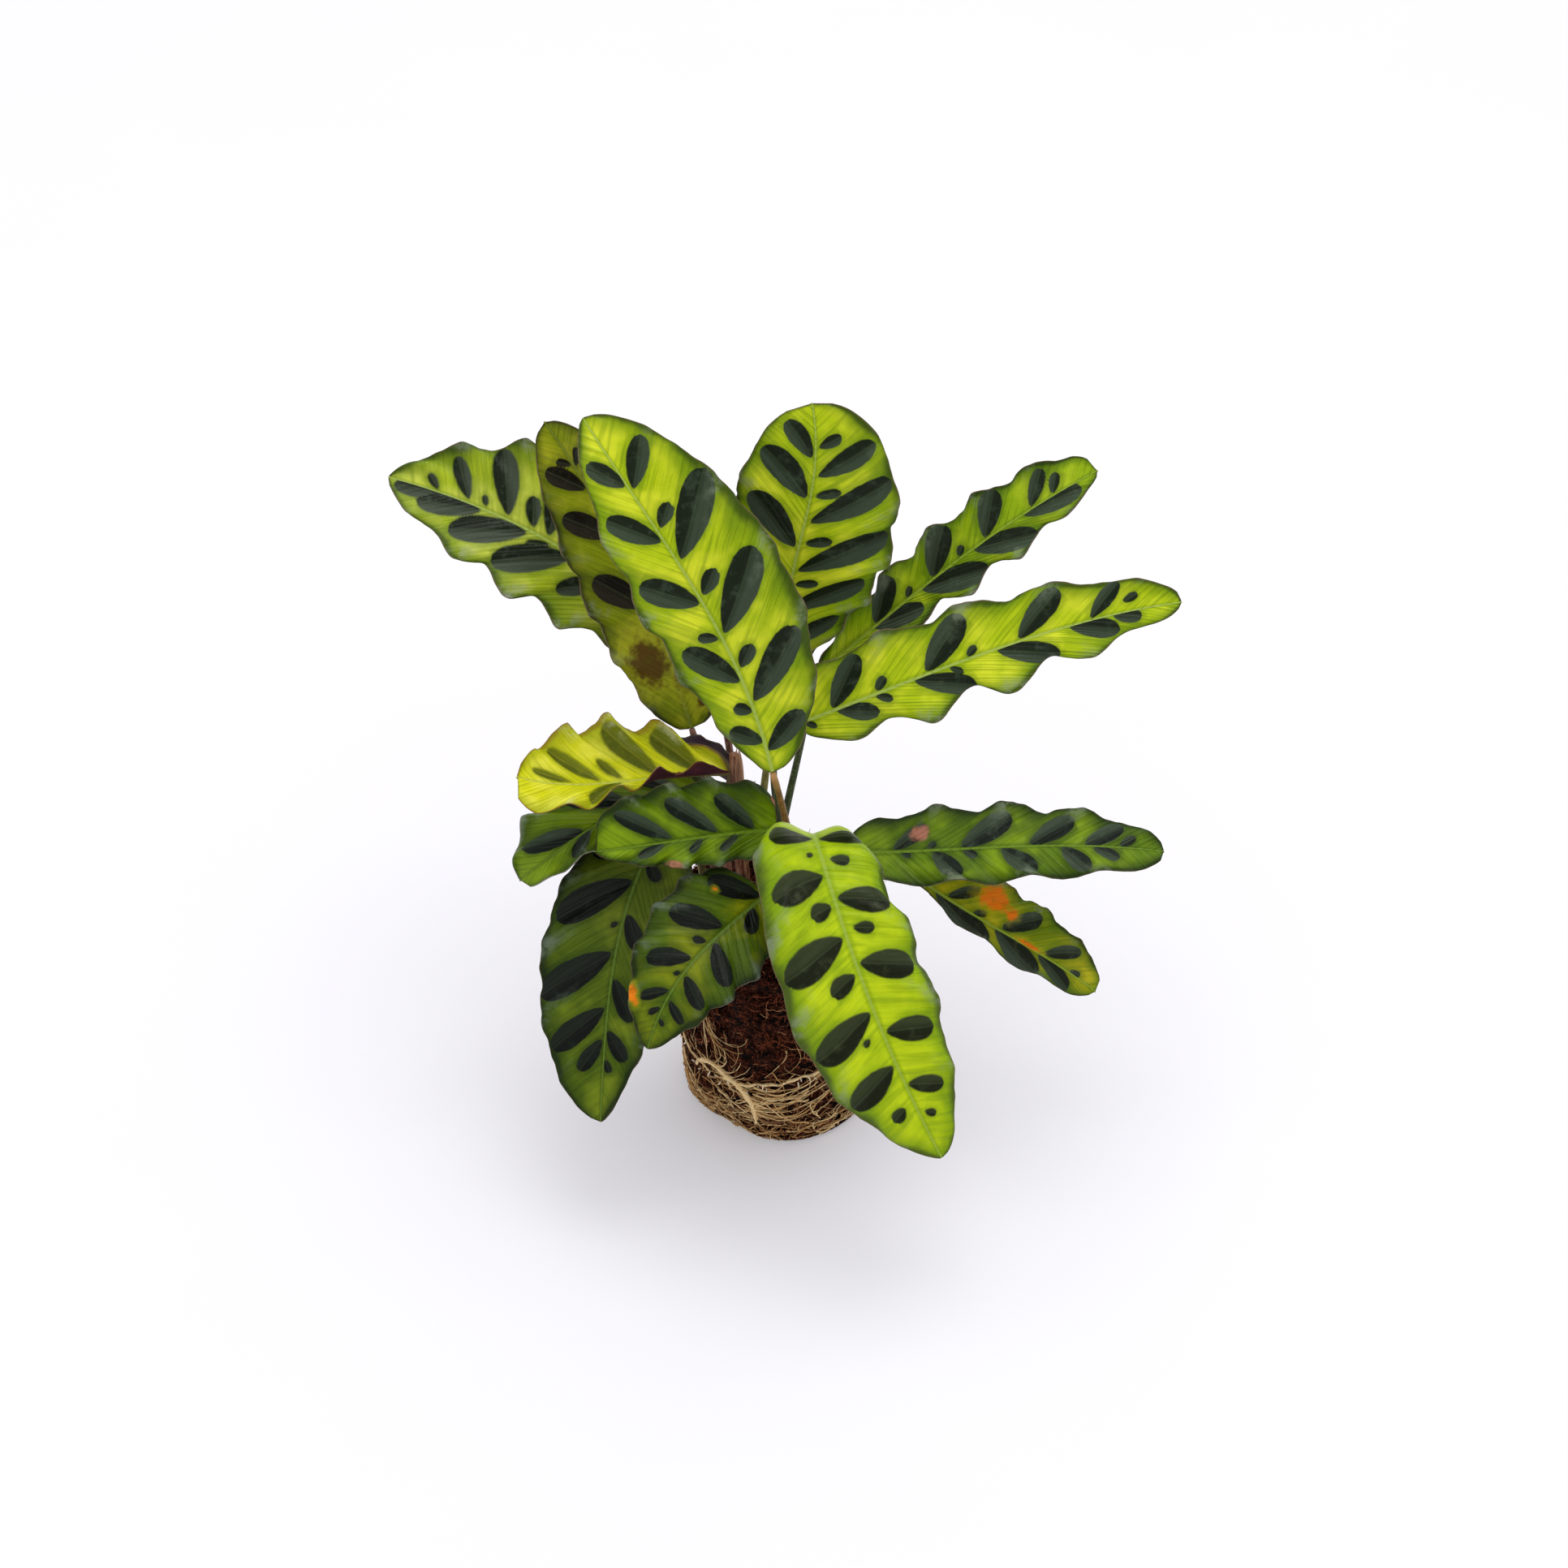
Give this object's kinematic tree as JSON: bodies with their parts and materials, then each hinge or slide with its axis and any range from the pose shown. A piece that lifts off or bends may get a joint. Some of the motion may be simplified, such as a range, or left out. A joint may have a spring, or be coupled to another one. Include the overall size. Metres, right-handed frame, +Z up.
{
  "type": "calathea plant with bare root ball",
  "caption": "Rattlesnake calathea out of its pot: long wavy-edged leaves with dark oval markings on thin stalks, over a pot-shaped ball of soil wrapped in roots.",
  "frame": {"origin": "centre of the root ball's flat underside, on the surface it stands on", "axes": "+Z up; -Y towards the side the picture was taken from; +X to the right as seen from there"},
  "size_m": [0.3484, 0.2345, 0.3667],
  "materials": {
    "soil": "matte",
    "roots": "matte",
    "papery_shoot": "matte",
    "shoot_bract": "satin",
    "leaf_bright": "satin",
    "leaf_fresh": "satin",
    "leaf_shaded": "satin",
    "leaf_yellow": "satin",
    "leaf_underside": "satin",
    "stalk_olive": "satin",
    "stalk_dark": "satin",
    "stalk_rust": "satin",
    "stalk_pink": "satin",
    "stalk_brown": "satin"
  },
  "bodies": {
    "root": {"root_ball": "soil", "roots": "roots", "papery_shoot": "papery_shoot", "shoot_bract": "shoot_bract", "leaf_back_left": "leaf_bright", "leaf_left_rear": "leaf_fresh", "leaf_left_front": "leaf_bright", "leaf_back_centre": "leaf_bright", "leaf_back_right": "leaf_fresh", "leaf_right_upper": "leaf_bright", "leaf_left_yellow": "leaf_yellow", "leaf_left_under": "leaf_shaded", "leaf_left_near": "leaf_fresh", "leaf_low_left": "leaf_shaded", "leaf_low_front": "leaf_shaded", "leaf_front": "leaf_bright", "leaf_right_mid": "leaf_fresh", "leaf_right_low": "leaf_fresh", "leaf_curled": "leaf_underside", "stalk_back_left": "stalk_brown", "stalk_left_rear": "stalk_olive", "stalk_left_front": "stalk_rust", "stalk_back_centre": "stalk_olive", "stalk_back_right": "stalk_dark", "stalk_right_upper": "stalk_dark", "stalk_left_under": "stalk_pink", "stalk_left_near": "stalk_olive", "stalk_low_left": "stalk_olive", "stalk_low_front": "stalk_olive", "stalk_front": "stalk_olive", "stalk_right_mid": "stalk_dark", "stalk_right_low": "stalk_dark", "stalk_curled": "stalk_brown"}
  },
  "joints": []
}
